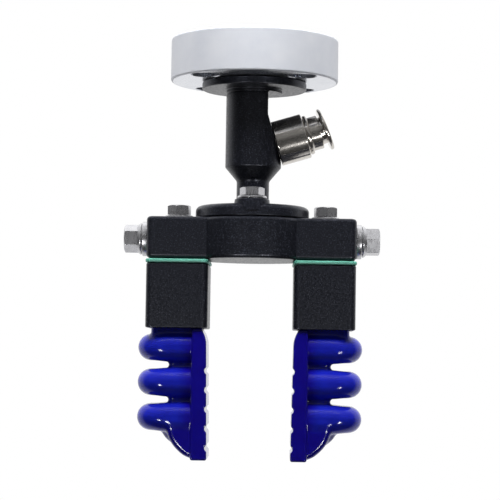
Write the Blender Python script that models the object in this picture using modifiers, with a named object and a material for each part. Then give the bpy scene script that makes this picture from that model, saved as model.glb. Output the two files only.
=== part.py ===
"""A two-finger soft pneumatic gripper that hangs from a robot flange.

Lengths are in millimetres and are scaled to metres when a mesh is made.
The origin is the centre of the adapter disc's top face. X runs from finger to finger, Z is up.
"""

import math

import bmesh
import bpy
from mathutils import Matrix, Vector

MM = 0.001
PART_NAME = "soft_pneumatic_gripper"
GAP = 0.3           # kept between pieces that rest on each other
MERGE = 0.00001     # metres
ROUND = 36          # steps of a large turned piece
FINE = 20           # steps of a small one

# Adapter disc, made to a 63 mm robot flange
DISC_RADIUS = 31.5
DISC_STEPS = 48
DISC_HEIGHT = 16.1
DISC_CHAMFER = 0.8
ROBOT_CIRCLE_RADIUS = 25.0
ROBOT_HOLE_RADIUS = 3.3
COUNTERBORE_RADIUS = 5.25
COUNTERBORE_DEPTH = 6.5
DOWEL_RADIUS = 3.0
DOWEL_DEPTH = 8.0

# Countersunk screws that hold the stem to the disc
STEM_SCREW_CIRCLE_RADIUS = 15.0
STEM_SCREW_RADIUS = 2.0
STEM_SCREW_HEAD_RADIUS = 4.0
STEM_SCREW_END = -18.1

# Stem: flange, milled cylinder, cone and neck in one piece
STEM_FLANGE_RADIUS = 19.65
STEM_FLANGE_BOTTOM = -19.1
STEM_RADIUS = 10.5
STEM_RING_BOTTOM = -20.3
STEM_FLAT_X = 5.3
STEM_FLAT_END = -28.8
STEM_CONE_TOP = -48.4
STEM_CONE_BOTTOM = -53.6
NECK_RADIUS = 6.1
SPIGOT_RADIUS = 4.7
AIR_RADIUS = 2.5

# Push-in fitting; S runs along its axis, outwards from the stem's slanted face
FITTING_X = 8.4
FITTING_Z = -39.3
FITTING_RISE = math.radians(16.5)
FITTING_BODY_RADIUS = 8.55
FITTING_BODY_END = 11.7
FITTING_THREAD_RADIUS = 4.85
FITTING_THREAD_LENGTH = 6.5
FACE_GROOVE_OUTER = 7.2
FACE_GROOVE_INNER = 5.2
FACE_GROOVE_DEPTH = 1.6
COLLAR_RING_RADIUS = 7.5
COLLAR_RING_END = 13.5
COLLAR_NOSE_RADIUS = 6.4
COLLAR_NOSE_END = 17.3
COLLAR_BORE_RADIUS = 5.7
TUBE_RADIUS = 4.0
COLLET_RADIUS = 5.1
COLLET_FLANGE_RADIUS = 8.1
COLLET_FLANGE_START = 18.7
COLLET_FLANGE_THICKNESS = 1.4
COLLET_INNER_END = 11.6
COLLET_LEAN = math.radians(6.5)
COLLET_LEAN_CENTRE = 16.0

# Hub cap
CAP_RADIUS = 21.3
CAP_TOP = -63.3
CAP_EDGE_RADIUS = 2.0
LUG_RADIUS = 6.4
LUG_TOP = -61.6
CAP_BOLT_Y = 15.0

# Manifold body
BODY_TOP = -68.1
BODY_BOTTOM = -83.5
HUB_RADIUS = 22.0
WING_END = 38.8
WING_DEPTH = 29.0
CORNER_RADIUS = 2.5
EDGE_RADIUS = 1.5
CHANNEL_RADIUS = 3.0
PORT_RADIUS = 5.1
PORT_DEPTH = 8.0

# Finger blocks and gaskets
BLOCK_INNER_X = 15.7
BLOCK_OUTER_X = 38.7
BLOCK_TOP = -85.5
BLOCK_BOTTOM = -109.2
BLOCK_WALL = 1.7
BLOCK_ROOF = 5.0
GASKET_PROUD = 0.3
GASKET_HOLE_RADIUS = 4.7
FINGER_BOLT_X = 27.5

# Bolts and washers
BOLT_RADIUS = 2.5
BOLT_HOLE_RADIUS = 2.8
BOLT_ACROSS_FLATS = 8.0
FINGER_BOLT_HEAD_HEIGHT = 3.6
CAP_BOLT_HEAD_HEIGHT = 2.9
WASHER_RADIUS = 5.35
WASHER_THICKNESS = 0.9
FINGER_BOLT_END = -98.2
CAP_BOLT_END = -76.5

# Blanking plugs in the ends of the air channel
PLUG_FLANGE_RADIUS = 5.9
PLUG_FLANGE_THICKNESS = 0.6
PLUG_WASHER_RADIUS = 6.5
PLUG_WASHER_THICKNESS = 2.0
PLUG_END = 47.9
PLUG_ACROSS_FLATS = 9.2
PLUG_TURN = {"left": math.radians(30), "right": math.radians(-9)}
PLUG_THREAD_RADIUS = 4.8

# Silicone fingers, described for the one on the +X side
NECK_LENGTH = 1.9
BULGE_HEIGHT = 10.5
BULGE_PITCH = 12.9
BULGE_COUNT = 3
BULGE_OUTER_X = 41.7
BULGE_WIDTH = 26.0
BULGE_PLAN_RADIUS = 10.0
BULGE_EDGE_RADIUS = 5.0
CORE_OUTER_X = 30.0
CORE_WIDTH = 18.0
PAD_BACK_X = 21.4
PAD_TOP_X = 16.1
PAD_TIP_X = 15.3
PAD_WIDTH = 26.6
FINGER_TIP = -157.8
TIP_CORNER = 0.8
DRAW_BACK = 1.9     # of the grip face's top edge
DRAW_BACK_LENGTH = 6.0
GROOVE_COUNT = 5
GROOVE_FIRST = -124.8
GROOVE_PITCH = 7.1
GROOVE_RADIUS = 1.25
GROOVE_CENTRE = 0.3  # in front of the grip face
WEB_WIDTH = 25.2
WEB_TOP_X = 30.5
WEB_HEIGHT = 12.8
WEB_TAPER = 1.5
WEB_SWEEP = 7.8
WEB_SWEEP_POWER = 2.6
LUMP_X = 26.8
LUMP_Z = -146.0
LUMP_RADIUS = 5.7
LUMP_WIDTH = 14.0
CHAMBER_WALL = 2.2
CHAMBER_INNER_X = 24.0
CHAMBER_OUTER_X = 37.5
CHAMBER_WIDTH = 15.0
DUCT_OUTER_X = 27.5
DUCT_WIDTH = 10.0
HINGE_X = 17.0
HINGE_GAP = 0.3
OPENING_ANGLE = math.radians(4.4)

BLACK_METAL = ("anodised_black", (0.018, 0.018, 0.021), 0.55, 0.3)
SILVER_METAL = ("anodised_silver", (0.55, 0.57, 0.62), 0.38, 0.8)
STEEL = ("stainless_steel", (0.62, 0.62, 0.66), 0.3, 1.0)
NICKEL = ("nickel_plate", (0.66, 0.62, 0.57), 0.2, 1.0)
GASKET_RUBBER = ("green_rubber", (0.10, 0.40, 0.29), 0.6, 0.0)
SEAL_RUBBER = ("black_rubber", (0.02, 0.02, 0.02), 0.6, 0.0)
SILICONE = ("blue_silicone", (0.012, 0.02, 0.38), 0.22, 0.0)


def clear_scene():
    for obj in list(bpy.data.objects):
        bpy.data.objects.remove(obj, do_unlink=True)


def new_collection(name):
    collection = bpy.data.collections.new(name)
    bpy.context.scene.collection.children.link(collection)
    return collection


def new_material(name, colour, roughness, metallic):
    material = bpy.data.materials.new(name)
    material.use_nodes = True
    shader = material.node_tree.nodes["Principled BSDF"]
    shader.inputs["Base Color"].default_value = (*colour, 1.0)
    shader.inputs["Roughness"].default_value = roughness
    shader.inputs["Metallic"].default_value = metallic
    return material


def object_from(bm, name, collection):
    mesh = bpy.data.meshes.new(name)
    bmesh.ops.recalc_face_normals(bm, faces=bm.faces)
    bm.to_mesh(mesh)
    bm.free()
    obj = bpy.data.objects.new(name, mesh)
    collection.objects.link(obj)
    return obj


def finish(obj, look, parent=None):
    """Gives a part its own material, smooth shading and its parent."""
    name, colour, roughness, metallic = look
    obj.data.materials.append(new_material(f"{obj.name}_{name}", colour, roughness, metallic))
    obj.data.shade_smooth()
    obj.data.set_sharp_from_angle(angle=math.radians(35))
    obj.parent = parent
    return obj


def as_cutter(obj):
    """Marks an object that only shapes others, and moves it out of the parts."""
    for collection in list(obj.users_collection):
        collection.objects.unlink(obj)
    cutters.objects.link(obj)
    obj.hide_render = True
    obj.display_type = "WIRE"
    return obj


def combine(obj, other, operation):
    as_cutter(other)
    modifier = obj.modifiers.new(other.name, "BOOLEAN")
    modifier.operation = operation
    modifier.solver = "EXACT"
    modifier.object = other


def cut(obj, *others):
    for other in others:
        combine(obj, other, "DIFFERENCE")


def join(obj, *others):
    for other in others:
        combine(obj, other, "UNION")


def arc(centre_r, centre_z, radius, start, end, steps=3):
    """Points on an arc of a profile; angles in degrees, 0 outwards and 90 up."""
    points = []
    for step in range(steps + 1):
        angle = math.radians(start + (end - start) * step / steps)
        points.append((centre_r + radius * math.cos(angle), centre_z + radius * math.sin(angle)))
    return points


def turned(name, profile, steps=ROUND):
    """Turns a profile of (radius, height) about Z. It runs down its outer side, and a profile
    that doesn't start on the axis is a ring's closed section."""
    bm = bmesh.new()
    points = [bm.verts.new((r * MM, 0, z * MM)) for r, z in profile]
    following = points[1:] if profile[0][0] == 0 else points[1:] + points[:1]
    for first, second in zip(points, following):
        bm.edges.new((first, second))
    mesh = bpy.data.meshes.new(name)
    bm.to_mesh(mesh)
    bm.free()
    obj = bpy.data.objects.new(name, mesh)
    parts.objects.link(obj)
    screw = obj.modifiers.new("turn", "SCREW")
    screw.steps = steps
    screw.render_steps = steps
    screw.use_merge_vertices = True
    screw.merge_threshold = MERGE
    return obj


def cylinder(name, radius, low, high, x=0.0, y=0.0, sides=FINE, top_radius=None, turn=0.0):
    """An upright cylinder, cone or prism between two heights."""
    bm = bmesh.new()
    top_radius = radius if top_radius is None else top_radius
    place = Matrix.Translation((x * MM, y * MM, (low + high) / 2 * MM)) @ Matrix.Rotation(turn, 4, "Z")
    bmesh.ops.create_cone(
        bm, cap_ends=True, segments=sides, radius1=radius * MM, radius2=top_radius * MM,
        depth=(high - low) * MM, matrix=place,
    )
    return object_from(bm, name, parts)


def lying_cylinder(name, radius, start_x, end_x, z, sides=FINE, turn=0.0):
    """A cylinder or prism along X."""
    obj = cylinder(name, radius, min(start_x, end_x), max(start_x, end_x), sides=sides, turn=turn)
    obj.data.transform(Matrix.Rotation(math.radians(90), 4, "Y"))
    obj.data.transform(Matrix.Translation((0, 0, z * MM)))
    return obj


def box(name, low, high, upright_radius=0.0, edge_radius=0.0, upright_side=0, steps=3):
    """A box between two corners. Its upright edges are rounded, on one side only where
    upright_side is 1 or -1, and then the edges round its top and bottom."""
    low = Vector(low)
    high = Vector(high)
    bm = bmesh.new()
    place = Matrix.LocRotScale((low + high) / 2 * MM, None, (high - low) * MM)
    bmesh.ops.create_cube(bm, size=1.0, matrix=place)
    middle = (low + high) / 2 * MM

    def is_rounded(edge):
        return (edge.verts[0].co.x - middle.x) * upright_side >= 0

    if upright_radius:
        upright = [e for e in bm.edges if abs(e.verts[0].co.z - e.verts[1].co.z) > MM and is_rounded(e)]
        bmesh.ops.bevel(
            bm, geom=upright, offset=upright_radius * MM, segments=steps, profile=0.5, affect="EDGES",
        )
    if edge_radius:
        flat = [e for e in bm.edges if abs(e.verts[0].co.z - e.verts[1].co.z) < MM * 0.01]
        bmesh.ops.bevel(
            bm, geom=flat, offset=edge_radius * MM, segments=steps, profile=0.5, affect="EDGES",
        )
    return object_from(bm, name, parts)


def sheet(name, outline, width):
    """An outline in the XZ plane given a width along Y."""
    bm = bmesh.new()
    bm.faces.new([bm.verts.new((x * MM, 0, z * MM)) for x, z in outline])
    obj = object_from(bm, name, parts)
    solid = obj.modifiers.new("width", "SOLIDIFY")
    solid.thickness = width * MM
    solid.offset = 0.0
    return obj


def move_origin(obj, origin):
    """Puts an object's origin on its joint's axis and leaves the shape where it is."""
    obj.data.transform(Matrix.Translation(-Vector(origin) * MM))
    obj.location = Vector(origin) * MM
    return obj


def ring(name, outer, inner, low, high, steps=FINE):
    return turned(name, [(outer, high), (outer, low), (inner, low), (inner, high)], steps)


def around(count, radius, start=0.0):
    """Centres of count places on a circle."""
    for index in range(count):
        angle = start + 2 * math.pi * index / count
        yield radius * math.cos(angle), radius * math.sin(angle)


def make_disc():
    chamfer = DISC_CHAMFER
    disc = turned("adapter_disc", [
        (0, 0), (DISC_RADIUS - chamfer, 0), (DISC_RADIUS, -chamfer),
        (DISC_RADIUS, -DISC_HEIGHT + chamfer), (DISC_RADIUS - chamfer, -DISC_HEIGHT), (0, -DISC_HEIGHT),
    ], steps=DISC_STEPS)
    below = -DISC_HEIGHT - 1
    for x, y in around(4, ROBOT_CIRCLE_RADIUS, math.pi / 4):
        cut(disc, cylinder("robot_hole", ROBOT_HOLE_RADIUS, below, 1, x, y, sides=16))
        top = -DISC_HEIGHT + COUNTERBORE_DEPTH
        cut(disc, cylinder("counterbore", COUNTERBORE_RADIUS, below, top, x, y, sides=20))
    for x, y in around(4, STEM_SCREW_CIRCLE_RADIUS):
        radius = STEM_SCREW_RADIUS + GAP
        cut(disc, cylinder("screw_hole", radius, below, 1, x, y, sides=12))
        depth = STEM_SCREW_HEAD_RADIUS - STEM_SCREW_RADIUS + GAP + 0.2
        mouth = radius + depth + 1
        cut(disc, cylinder("countersink", radius, -depth, 1, x, y, sides=16, top_radius=mouth))
    cut(disc, cylinder("dowel_hole", DOWEL_RADIUS, -DOWEL_DEPTH, 1, 0, ROBOT_CIRCLE_RADIUS, sides=16))
    finish(disc, SILVER_METAL)


def make_stem_screws():
    """Countersunk socket screws from the disc's top face into the stem's flange."""
    head = STEM_SCREW_HEAD_RADIUS
    shank = STEM_SCREW_RADIUS
    for index, (x, y) in enumerate(around(4, STEM_SCREW_CIRCLE_RADIUS)):
        screw = turned(f"stem_screw_{index + 1}", [
            (0, -GAP), (head, -GAP), (head, -GAP - 0.2), (shank, -GAP - 0.2 - head + shank),
            (shank, STEM_SCREW_END), (0, STEM_SCREW_END),
        ], steps=12)
        socket = cylinder("hex_socket", 1.45, -2.5, 1, sides=6)
        cut(screw, socket)
        socket.parent = screw
        screw.location = (x * MM, y * MM, 0)
        finish(screw, STEEL)


def make_stem(fitting_frame):
    bore_top = FITTING_Z + 2.0
    stem = turned("stem", [
        (0, -DISC_HEIGHT - GAP), (STEM_FLANGE_RADIUS - 0.5, -DISC_HEIGHT - GAP),
        (STEM_FLANGE_RADIUS, -DISC_HEIGHT - GAP - 0.5),
        (STEM_FLANGE_RADIUS, STEM_FLANGE_BOTTOM + 0.2), (STEM_FLANGE_RADIUS - 0.2, STEM_FLANGE_BOTTOM),
        (STEM_RADIUS, STEM_FLANGE_BOTTOM), (STEM_RADIUS, STEM_RING_BOTTOM),
        (STEM_RADIUS - 0.3, STEM_RING_BOTTOM - 0.2), (STEM_RADIUS, STEM_RING_BOTTOM - 0.5),
        (STEM_RADIUS, STEM_CONE_TOP), (NECK_RADIUS + 0.4, STEM_CONE_BOTTOM + 0.2),
        (NECK_RADIUS, STEM_CONE_BOTTOM - 0.7), (NECK_RADIUS, CAP_TOP + GAP),
        (SPIGOT_RADIUS, CAP_TOP + GAP), (SPIGOT_RADIUS, BODY_TOP + GAP),
        (AIR_RADIUS, BODY_TOP + GAP), (AIR_RADIUS, bore_top), (0, bore_top + 1.5),
    ])
    reach = STEM_RADIUS + 2
    slant_x = STEM_FLAT_X + (STEM_FLAT_END - FITTING_Z + 12) * math.tan(FITTING_RISE)
    milled = sheet("milled_face", [
        (STEM_FLAT_X, STEM_RING_BOTTOM), (STEM_FLAT_X, STEM_FLAT_END),
        (slant_x, FITTING_Z - 12), (reach + 8, FITTING_Z - 12), (reach + 8, STEM_RING_BOTTOM),
    ], 30)
    cut(stem, milled)
    port = cylinder(
        "port_bore", FITTING_THREAD_RADIUS + GAP, -FITTING_THREAD_LENGTH - 0.6, 3, sides=FINE,
    )
    port.parent = fitting_frame
    cut(stem, port)
    for x, y in around(4, STEM_SCREW_CIRCLE_RADIUS):
        hole = cylinder("stem_thread", STEM_SCREW_RADIUS + GAP, STEM_SCREW_END - GAP, -10, x, y, sides=12)
        cut(stem, hole)
    finish(stem, BLACK_METAL)


def make_fitting(fitting_frame):
    """The push-in fitting's own Z is its axis."""
    bore = TUBE_RADIUS + 0.15
    seal_bore = 6.2
    grip_bore = 6.8
    body = turned("fitting_body", [
        (FITTING_BODY_RADIUS - 0.3, FITTING_BODY_END), (FITTING_BODY_RADIUS, FITTING_BODY_END - 0.3),
        (FITTING_BODY_RADIUS, GAP + 0.2), (FITTING_BODY_RADIUS - 0.2, GAP), (FACE_GROOVE_OUTER, GAP),
        (FACE_GROOVE_OUTER, FACE_GROOVE_DEPTH), (FACE_GROOVE_INNER, FACE_GROOVE_DEPTH),
        (FITTING_THREAD_RADIUS, GAP), (FITTING_THREAD_RADIUS, -FITTING_THREAD_LENGTH),
        (AIR_RADIUS, -FITTING_THREAD_LENGTH), (AIR_RADIUS, 2.2), (bore, 2.2), (bore, 4.4),
        (seal_bore, 4.4), (seal_bore, 7.4), (grip_bore, 7.4), (grip_bore, FITTING_BODY_END),
    ], steps=24)
    finish(body, NICKEL, fitting_frame)

    o_ring = turned("fitting_o_ring", arc(6.2, 0.85, 0.65, 90, -210, 5), steps=16)
    finish(o_ring, SEAL_RUBBER, fitting_frame)

    tube_seal = turned("tube_seal", [
        (5.9, 7.1), (5.9, 4.7), (4.9, 4.7), (bore + 0.2, 5.5), (bore, 6.3), (5.0, 7.1),
    ], steps=20)
    finish(tube_seal, SEAL_RUBBER, fitting_frame)

    grip_ring = turned("grip_ring", [(6.5, 8.2), (6.5, 7.7), (bore + 0.2, 7.7), (bore + 0.2, 8.2)], steps=24)
    for index in range(4):
        slot = box("claw_slot", (-5.6, -0.35, 7), (5.6, 0.35, 9))
        slot.rotation_euler.z = math.radians(22.5 + 45 * index)
        slot.parent = fitting_frame
        cut(grip_ring, slot)
    finish(grip_ring, STEEL, fitting_frame)

    spigot = grip_bore - GAP
    collar = turned("fitting_collar", [
        (COLLAR_NOSE_RADIUS - 0.2, COLLAR_NOSE_END), (COLLAR_NOSE_RADIUS, COLLAR_NOSE_END - 0.2),
        (COLLAR_NOSE_RADIUS, COLLAR_RING_END), (COLLAR_RING_RADIUS - 0.6, COLLAR_RING_END),
        (COLLAR_RING_RADIUS, COLLAR_RING_END - 0.6), (COLLAR_RING_RADIUS, FITTING_BODY_END + GAP),
        (spigot, FITTING_BODY_END + GAP), (spigot, 8.5), (COLLAR_BORE_RADIUS, 8.5),
        (COLLAR_BORE_RADIUS, COLLAR_NOSE_END),
    ], steps=24)
    finish(collar, NICKEL, fitting_frame)


def make_collet(fitting_frame):
    """The release collet sits a little crooked in its collar, so its own frame leans."""
    frame = bpy.data.objects.new("collet_frame", None)
    parts.objects.link(frame)
    frame.parent = fitting_frame
    frame.location = (0, 0, COLLET_LEAN_CENTRE * MM)
    frame.rotation_euler.y = -COLLET_LEAN
    start = COLLET_FLANGE_START - COLLET_LEAN_CENTRE
    end = start + COLLET_FLANGE_THICKNESS
    rim = COLLET_FLANGE_THICKNESS / 2
    inner = TUBE_RADIUS + 0.1
    profile = [(inner + 0.5, end), (COLLET_FLANGE_RADIUS - rim, end)]
    profile += arc(COLLET_FLANGE_RADIUS - rim, start + rim, rim, 60, -60, 4)
    profile += [
        (COLLET_FLANGE_RADIUS - rim, start), (COLLET_RADIUS, start),
        (COLLET_RADIUS, COLLET_INNER_END - COLLET_LEAN_CENTRE),
        (inner, COLLET_INNER_END - COLLET_LEAN_CENTRE), (inner, end - 0.5),
    ]
    collet = turned("release_collet", profile, steps=24)
    finish(collet, NICKEL, frame)


def bolt(name, x, y, seat, height, end, turn=0.0):
    """A hexagon bolt whose head stands on the height seat."""
    corner = BOLT_ACROSS_FLATS / 2 / math.cos(math.radians(30))
    head = cylinder(name, corner, seat, seat + height, x, y, sides=6, turn=turn)
    join(head, cylinder(f"{name}_shank", BOLT_RADIUS, end, seat + 1, x, y, sides=16))
    return finish(head, STEEL)


def washer(name, x, y, seat):
    obj = ring(name, WASHER_RADIUS, BOLT_HOLE_RADIUS, seat, seat + WASHER_THICKNESS)
    obj.location = (x * MM, y * MM, 0)
    return finish(obj, STEEL)


def make_cap():
    cap = turned("hub_cap", [
        *arc(CAP_RADIUS - CAP_EDGE_RADIUS, CAP_TOP - CAP_EDGE_RADIUS, CAP_EDGE_RADIUS, 90, 0),
        (CAP_RADIUS, BODY_TOP + GAP), (8.8, BODY_TOP + GAP), (8.8, BODY_TOP + 2.1),
        (6.2, BODY_TOP + 2.1), (6.2, BODY_TOP + GAP), (SPIGOT_RADIUS + GAP, BODY_TOP + GAP),
        (SPIGOT_RADIUS + GAP, CAP_TOP),
    ])
    for y in (-CAP_BOLT_Y, CAP_BOLT_Y):
        lug = cylinder("lug", LUG_RADIUS + 0.4, CAP_TOP - 2.5, LUG_TOP, 0, y, sides=FINE, top_radius=LUG_RADIUS)
        join(cap, lug)
    for y in (-CAP_BOLT_Y, CAP_BOLT_Y):
        cut(cap, cylinder("cap_bolt_hole", BOLT_HOLE_RADIUS, BODY_TOP - 1, LUG_TOP + 1, 0, y, sides=16))
    finish(cap, BLACK_METAL)

    section = arc(7.5, BODY_TOP + 1.1, 0.8, 90, -210, 5)
    finish(turned("hub_o_ring", section, steps=FINE), SEAL_RUBBER)
    for side, y in (("front", -CAP_BOLT_Y), ("rear", CAP_BOLT_Y)):
        seat = LUG_TOP + GAP
        washer(f"cap_washer_{side}", 0, y, seat)
        head_seat = seat + WASHER_THICKNESS + GAP
        bolt(f"cap_bolt_{side}", 0, y, head_seat, CAP_BOLT_HEAD_HEIGHT, CAP_BOLT_END)


def make_manifold():
    low = (-WING_END, -WING_DEPTH / 2, BODY_BOTTOM)
    high = (WING_END, WING_DEPTH / 2, BODY_TOP)
    body = box("manifold_body", low, high, CORNER_RADIUS, EDGE_RADIUS)
    edge = EDGE_RADIUS
    hub = turned("hub", [
        (0, BODY_TOP), *arc(HUB_RADIUS - edge, BODY_TOP - edge, edge, 90, 0),
        *arc(HUB_RADIUS - edge, BODY_BOTTOM + edge, edge, 0, -90), (0, BODY_BOTTOM),
    ], steps=DISC_STEPS)
    join(body, hub)
    middle = (BODY_TOP + BODY_BOTTOM) / 2
    cut(body, lying_cylinder("air_channel", CHANNEL_RADIUS, -WING_END - 1, WING_END + 1, middle, sides=16))
    for side in (-1, 1):
        start = side * (WING_END - PORT_DEPTH)
        cut(body, lying_cylinder("plug_port", PORT_RADIUS, start, side * (WING_END + 1), middle, sides=20))
        x = side * FINGER_BOLT_X
        cut(body, cylinder("finger_bolt_hole", 3.5, BODY_BOTTOM - 1, BODY_TOP + 1, x, sides=16))
        y = side * CAP_BOLT_Y
        cut(body, cylinder("cap_thread", BOLT_HOLE_RADIUS, CAP_BOLT_END - 1, BODY_TOP + 1, 0, y, sides=16))
    cut(body, cylinder("air_inlet", CHANNEL_RADIUS, middle, BODY_TOP + 1, sides=16))
    finish(body, BLACK_METAL)


def make_plug(side_name, side):
    """A hexagon blanking plug and its washer, in one end of the air channel."""
    middle = (BODY_TOP + BODY_BOTTOM) / 2
    seat = WING_END + GAP
    washer_end = seat + PLUG_WASHER_THICKNESS
    washer_ring = ring(f"plug_washer_{side_name}", PLUG_WASHER_RADIUS, PORT_RADIUS, seat, washer_end)
    flange = washer_end + GAP
    corner = PLUG_ACROSS_FLATS / 2 / math.cos(math.radians(30))
    shoulder = flange + PLUG_FLANGE_THICKNESS
    plug = turned(f"air_plug_{side_name}", [
        (0, shoulder + 2), (corner - 0.3, shoulder + 1), (PLUG_FLANGE_RADIUS - 0.2, shoulder),
        (PLUG_FLANGE_RADIUS, shoulder - 0.2), (PLUG_FLANGE_RADIUS, flange),
        (PLUG_THREAD_RADIUS, flange), (PLUG_THREAD_RADIUS, WING_END - PORT_DEPTH + 1),
        (0, WING_END - PORT_DEPTH + 1),
    ], steps=FINE)
    hexagon = cylinder("plug_hexagon", corner, shoulder - 0.5, PLUG_END, sides=6, turn=PLUG_TURN[side_name])
    join(plug, hexagon)
    for obj in (washer_ring, plug, hexagon):
        obj.rotation_euler.y = side * math.radians(90)
        obj.location.z = middle * MM
    finish(washer_ring, STEEL)
    finish(plug, STEEL)


def bulge_top(index):
    return BLOCK_BOTTOM - NECK_LENGTH - BULGE_PITCH * index


def hinge_height(index):
    """The joints are in the neck under the block and in the slots between the bulges."""
    if index == 0:
        return BLOCK_BOTTOM - NECK_LENGTH / 2 - 0.2
    return bulge_top(index) + (BULGE_PITCH - BULGE_HEIGHT) / 2


def grip_face_x(height):
    """The grip face leans in towards the tip, and its top edge is drawn back."""
    top = bulge_top(0)
    lean = (top - height) / (top - FINGER_TIP)
    draw_back = DRAW_BACK * max(0.0, 1 - (BLOCK_BOTTOM - height) / DRAW_BACK_LENGTH) ** 2
    return PAD_TOP_X + (PAD_TIP_X - PAD_TOP_X) * lean + draw_back


def pad_outline():
    """The pad's section, with a half-round groove across the grip face at each pitch."""
    top = BLOCK_BOTTOM - GAP / 3
    outline = [(PAD_BACK_X, top)]
    for step in range(4):
        height = top - step * DRAW_BACK_LENGTH / 3
        outline.append((grip_face_x(height), height))
    for index in range(GROOVE_COUNT):
        height = GROOVE_FIRST - index * GROOVE_PITCH
        outline += arc(grip_face_x(height) - GROOVE_CENTRE, height, GROOVE_RADIUS, 76, -76, 4)
    outline.append((PAD_TIP_X, FINGER_TIP + TIP_CORNER))
    outline.append((PAD_TIP_X + TIP_CORNER, FINGER_TIP))
    outline.append((PAD_BACK_X - TIP_CORNER, FINGER_TIP))
    outline.append((PAD_BACK_X, FINGER_TIP + TIP_CORNER))
    return outline


def web_edge_x(height):
    """The web's outer edge curves in to the pad at the finger's tip."""
    drop = (FINGER_TIP + WEB_HEIGHT - height) / WEB_HEIGHT
    return WEB_TOP_X - WEB_TAPER * drop - WEB_SWEEP * max(drop, 0.0) ** WEB_SWEEP_POWER


def web_outline():
    """The web behind the pad's lower end, under the last bulge."""
    inner = PAD_BACK_X - 1
    top = FINGER_TIP + WEB_HEIGHT
    outline = [(inner, top + 2)]
    for step in range(8):
        height = top - step * (WEB_HEIGHT - 0.4) / 7
        outline.append((web_edge_x(height), height))
    outline.append((inner, FINGER_TIP + 0.4))
    return outline


def lump_outline():
    """The end of the air chamber stands out of the web's middle."""
    return [
        (PAD_BACK_X - 0.8, LUMP_Z + 3), *arc(LUMP_X, LUMP_Z, LUMP_RADIUS, 25, -75, 6),
        (PAD_BACK_X - 0.8, LUMP_Z - 5),
    ]


def mirrored(points, side):
    return [(side * x, z) for x, z in points]


def span(side, inner, outer):
    """Low and high X of a stretch on one side."""
    return min(side * inner, side * outer), max(side * inner, side * outer)


def side_box(name, side, inner, outer, width, low, high, **rounding):
    left, right = span(side, inner, outer)
    return box(name, (left, -width / 2, low), (right, width / 2, high), **rounding)


def finger_region(name, side, index):
    """What one segment keeps of the finger: between two V-shaped gaps whose points are at the
    hinges. Each gap is wide enough for the finger to open by its small angle."""
    far = BULGE_OUTER_X + 3
    near = 10.0
    half_gap = HINGE_GAP / 2
    slope = math.tan(OPENING_ANGLE)
    top = hinge_height(index)
    outline = [
        (near, top - half_gap), (HINGE_X, top - half_gap), (far, top - half_gap - (far - HINGE_X) * slope),
    ]
    if index + 1 < BULGE_COUNT:
        bottom = hinge_height(index + 1)
        outline += [(far, bottom + half_gap), (near, bottom + half_gap)]
    else:
        outline += [(far, FINGER_TIP - 2), (near, FINGER_TIP - 2)]
    return sheet(name, mirrored(outline, side), 60)


def make_finger_segment(side_name, side, index):
    """One bellows bulge with its stretch of the grip pad, hollow for the air."""
    level = ("upper", "middle", "lower")[index]
    top = bulge_top(index)
    bottom = top - BULGE_HEIGHT
    name = f"finger_{side_name}_{level}"
    segment = sheet(name, mirrored(pad_outline(), side), PAD_WIDTH)
    bulge = side_box(
        f"{name}_bulge", side, PAD_BACK_X - 0.4, BULGE_OUTER_X, BULGE_WIDTH, bottom, top,
        upright_radius=BULGE_PLAN_RADIUS, edge_radius=BULGE_EDGE_RADIUS, upright_side=side,
    )
    join(segment, bulge)
    core_top = top + BULGE_PITCH - BULGE_HEIGHT if index else BLOCK_BOTTOM - 0.3
    core_outer = CORE_OUTER_X if index else BLOCK_OUTER_X - BLOCK_WALL - GAP
    core_width = CORE_WIDTH if index else WING_DEPTH - 2 * BLOCK_WALL - 2 * GAP
    join(segment, side_box(f"{name}_neck", side, PAD_BACK_X - 0.6, core_outer, core_width, top - 5, core_top))
    if index + 1 < BULGE_COUNT:
        low = bottom - BULGE_PITCH + BULGE_HEIGHT
        join(segment, side_box(f"{name}_core", side, PAD_BACK_X - 0.6, CORE_OUTER_X, CORE_WIDTH, low, top - 4))
    else:
        join(segment, sheet(f"{name}_web", mirrored(web_outline(), side), WEB_WIDTH))
        join(segment, sheet(f"{name}_lump", mirrored(lump_outline(), side), LUMP_WIDTH))
    combine(segment, finger_region(f"{name}_region", side, index), "INTERSECT")
    cut(segment, side_box(
        f"{name}_chamber", side, CHAMBER_INNER_X, CHAMBER_OUTER_X, CHAMBER_WIDTH,
        bottom + CHAMBER_WALL, top - CHAMBER_WALL,
    ))
    duct_low = bottom - 3 if index + 1 < BULGE_COUNT else bottom + 3
    duct_inner = CHAMBER_INNER_X + 0.5
    cut(segment, side_box(f"{name}_duct", side, duct_inner, DUCT_OUTER_X, DUCT_WIDTH, duct_low, top + 4))
    move_origin(segment, (side * HINGE_X, 0, hinge_height(index)))
    finish(segment, SILICONE)


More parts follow.
